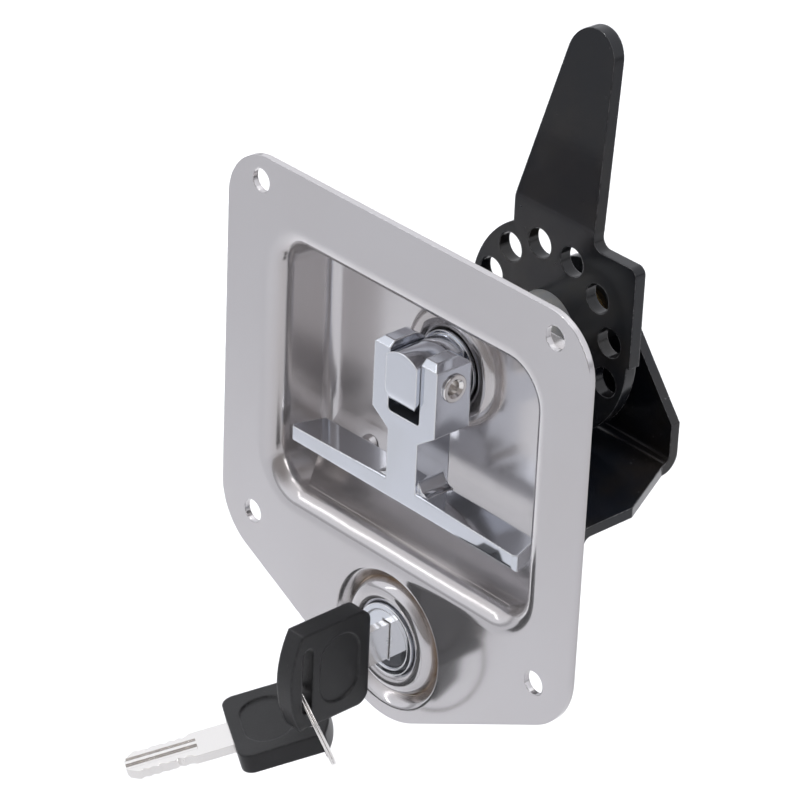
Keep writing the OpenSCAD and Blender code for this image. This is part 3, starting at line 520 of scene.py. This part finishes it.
class LATCH_OT_cam(Operator):
    """Finishes the cam arm and the rear bracket in gloss black"""

    bl_idname = "latch.cam"
    bl_label = "Cam and bracket"

    def execute(self, context):
        sizes, colours = chosen(context)
        wear(gloss_black(sizes, colours), "cam_arm", "rear_bracket")
        return {"FINISHED"}


class LATCH_OT_springs(Operator):
    """Finishes the spring washer and the end clip in oiled spring steel"""

    bl_idname = "latch.springs"
    bl_label = "Spring washer and clip"

    def execute(self, context):
        sizes, colours = chosen(context)
        wear(oiled_spring(sizes, colours), "spring_washer", "end_clip")
        return {"FINISHED"}


class LATCH_OT_bushes(Operator):
    """Finishes the plastic bush, the brass bush and the brass wafers"""

    bl_idname = "latch.bushes"
    bl_label = "Bushes and wafers"

    def execute(self, context):
        sizes, colours = chosen(context)
        wear(bush_plastic(sizes, colours), "spindle_bush")
        wear(turned_brass(sizes, colours), "end_bush", "lock_wafers")
        return {"FINISHED"}


class LATCH_OT_keys(Operator):
    """Finishes both keys: nickel blades and moulded heads"""

    bl_idname = "latch.keys"
    bl_label = "Keys"

    def execute(self, context):
        sizes, colours = chosen(context)
        wear(bright_nickel(sizes, colours), "key_blade", "spare_key_blade")
        wear(key_grip(sizes, colours), "key_head", "spare_key_head")
        return {"FINISHED"}


def ring_frame(name):
    """Centre, two directions in the plane, and the middle radius of a thin ring node."""
    points = np.array([v.co for v in NODES[name].data.vertices])
    centre = points.mean(0)
    _, _, axes = np.linalg.svd(points - centre, full_matrices=False)
    reach = np.linalg.norm(points - centre, axis=1)
    return Vector(centre), Vector(axes[0]), Vector(axes[1]), (reach.min() + reach.max()) / 2


class LATCH_OT_ring(Operator):
    """Builds the key ring as a split ring of two turns of flat wire"""

    bl_idname = "latch.ring"
    bl_label = "Split ring"

    turns = 2
    steps = 96
    sides = 12
    squareness = 0.6

    def execute(self, context):
        sizes, colours = chosen(context)
        centre, u, v, radius = ring_frame("key_ring")
        w = u.cross(v)
        high = sizes.ring_wire / self.turns * 0.94
        wide = sizes.ring_wire * 0.6
        mesh = bpy.data.meshes.new("split_ring")
        bm = bmesh.new()
        rows = []
        total = self.turns * self.steps
        for i in range(total + 1):
            angle = tau * (i + 1.5) / self.steps
            # the wire climbs one turn's height while it passes its own ends
            climb = min(1, max(0, (i / self.steps - 0.9) / 0.2))
            lift = (climb * climb * (3 - 2 * climb) - 0.5) * sizes.ring_wire / self.turns
            thin = 0.35 + 0.65 * min(1, i / 3, (total - i) / 3)
            out = u * cos(angle) + v * sin(angle)
            corners = []
            for a in range(self.sides):
                turn = tau * a / self.sides
                across = copysign(abs(cos(turn)) ** self.squareness, cos(turn)) * wide / 2 * thin
                along = copysign(abs(sin(turn)) ** self.squareness, sin(turn)) * high / 2
                spot = centre + out * (radius + across) + w * (lift + along)
                corners.append(bm.verts.new(spot))
            rows.append(corners)
        for one, two in zip(rows, rows[1:]):
            for a in range(self.sides):
                b = (a + 1) % self.sides
                bm.faces.new((one[a], one[b], two[b], two[a]))
        bm.faces.new(rows[0])
        bm.faces.new(rows[-1])
        bmesh.ops.recalc_face_normals(bm, faces=bm.faces)
        for face in bm.faces:
            face.smooth = True
        bm.to_mesh(mesh)
        bm.free()
        ring = bpy.data.objects.new("split_ring", mesh)
        bpy.context.scene.collection.objects.link(ring)
        mesh.materials.append(bright_nickel(sizes, colours))
        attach(ring, "ring")
        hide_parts("key_ring")
        return {"FINISHED"}


def aim(light, spot, target):
    """Stands a light at a spot and turns it to a target."""
    lamp = bpy.data.objects.new(light.name, light)
    lamp.location = spot
    lamp.rotation_euler = (Vector(target) - Vector(spot)).to_track_quat("-Z", "Y").to_euler()
    bpy.context.scene.collection.objects.link(lamp)


def soft_box(name, spot, target, size, power):
    """A rectangular area light that faces a target."""
    light = bpy.data.lights.new(name, "AREA")
    light.shape = "RECTANGLE"
    light.size, light.size_y = size
    light.energy = power
    aim(light, spot, target)


class LATCH_OT_stage(Operator):
    """Sets the pale floor, the soft lights, the sky and the camera"""

    bl_idname = "latch.stage"
    bl_label = "Studio stage"

    def execute(self, context):
        sizes, colours = chosen(context)
        self.floor(sizes, colours)
        self.lights()
        self.camera()
        return {"FINISHED"}

    def floor(self, sizes, colours):
        """A round pale floor under the latch."""
        mesh = bpy.data.meshes.new("pale_floor")
        bm = bmesh.new()
        bmesh.ops.create_circle(bm, cap_ends=True, segments=96, radius=sizes.floor_reach)
        bm.to_mesh(mesh)
        bm.free()
        floor = bpy.data.objects.new("pale_floor", mesh)
        floor.location.z = CAD_BOX[0][2] - sizes.floor_gap
        bpy.context.scene.collection.objects.link(floor)
        f = Finish("pale_floor", Specular_IOR_Level=0.1)
        cloud = f.noise(3, 3)
        mesh.materials.append(f.end(
            Base_Color=f.mix(cloud * 0.2, tuple(colours.floor), FLOOR_CLOUD),
            Roughness=0.8 + cloud * 0.1))

    def lights(self):
        """Soft boxes, lamps on the floor and the sky."""
        soft_box("top_light", (-0.4, 0.5, 2.4), (-0.4, 0.5, 0), (2.4, 2.4), 10)
        soft_box("left_strip", (-1.5, -1.3, 1.4), (0, 0, 0), (0.1, 1.4), 1.8)
        soft_box("right_strip", (1.5, -0.2, 1.1), (0, 0, 0), (0.2, 1.2), 4)
        self.floor_spot("floor_light", 52, 31, (-0.25, 0.35, 1.2), (-0.225, 0.235, -0.155))
        self.floor_spot("fore_light", 10, 28, (0.2, -0.36, 1.2), (0.14, -0.3, -0.155))
        self.sky()
        bpy.context.scene.view_settings.view_transform = "Standard"

    def floor_spot(self, name, power, cone, spot, target):
        """A lamp that lights a patch of the floor and misses the latch."""
        light = bpy.data.lights.new(name, "SPOT")
        light.energy = power
        light.spot_size = radians(cone)
        light.spot_blend = 0.5
        light.shadow_soft_size = 0.12
        aim(light, spot, target)

    def sky(self):
        """A pale dome that is darker along the horizon and on the camera's side."""
        world = bpy.data.worlds.new("studio")
        world.use_nodes = True
        bpy.context.scene.world = world
        w = Nodes(world.node_tree)
        way = w.node("ShaderNodeTexCoord", out="Generated")
        lean = w.node(
            "ShaderNodeVectorMath", {"operation": "DOT_PRODUCT"},
            {0: way, 1: CAMERA_WAY}, out="Value")
        rise = w.node("ShaderNodeSeparateXYZ", None, {0: way}, out="Z")
        line = 1 - (rise - 0.05).math("ABSOLUTE").step(0.02, 0.16)
        dark = lean.step(0.45, 0.96)
        dome = w.mix(line * 0.7, DOME, HORIZON)
        backing = world.node_tree.nodes["Background"]
        w.feed(backing.inputs["Color"], w.mix(dark, dome, CAMERA_SIDE))
        backing.inputs["Strength"].default_value = SKY_STRENGTH

    def camera(self):
        """A camera at the photograph's viewing angle."""
        data = bpy.data.cameras.new("photo_camera")
        data.sensor_width = 36
        data.lens = CAMERA_LENS
        data.clip_start = 0.02
        camera = bpy.data.objects.new("photo_camera", data)
        camera.location = CAMERA_SPOT
        camera.rotation_euler = [radians(angle) for angle in CAMERA_TURN]
        bpy.context.scene.collection.objects.link(camera)
        bpy.context.scene.camera = camera


STEPS = (
    LATCH_OT_plate,
    LATCH_OT_handle,
    LATCH_OT_fixings,
    LATCH_OT_cam,
    LATCH_OT_springs,
    LATCH_OT_bushes,
    LATCH_OT_keys,
    LATCH_OT_ring,
    LATCH_OT_stage,
)


class LATCH_PT_sidebar(Panel):
    """Lists the latch's pieces with their sizes and colours"""

    bl_label = "Door latch"
    bl_idname = "LATCH_PT_sidebar"
    bl_space_type = "VIEW_3D"
    bl_region_type = "UI"
    bl_category = "Latch"

    def draw(self, context):
        for group in (context.scene.latch_sizes, context.scene.latch_colours):
            box = self.layout.box()
            for label in group.__annotations__:
                box.prop(group, label)
        for step in STEPS:
            self.layout.operator(step.bl_idname)


CLASSES = (LatchSizes, LatchColours, *STEPS, LATCH_PT_sidebar)


def register():
    for kind in CLASSES:
        bpy.utils.register_class(kind)
    bpy.types.Scene.latch_sizes = PointerProperty(type=LatchSizes)
    bpy.types.Scene.latch_colours = PointerProperty(type=LatchColours)


def unregister():
    del bpy.types.Scene.latch_colours
    del bpy.types.Scene.latch_sizes
    for kind in reversed(CLASSES):
        bpy.utils.unregister_class(kind)


def main():
    register()
    for step in STEPS:
        group, name = step.bl_idname.split(".")
        getattr(getattr(bpy.ops, group), name)()


if __name__ == "__main__":
    main()
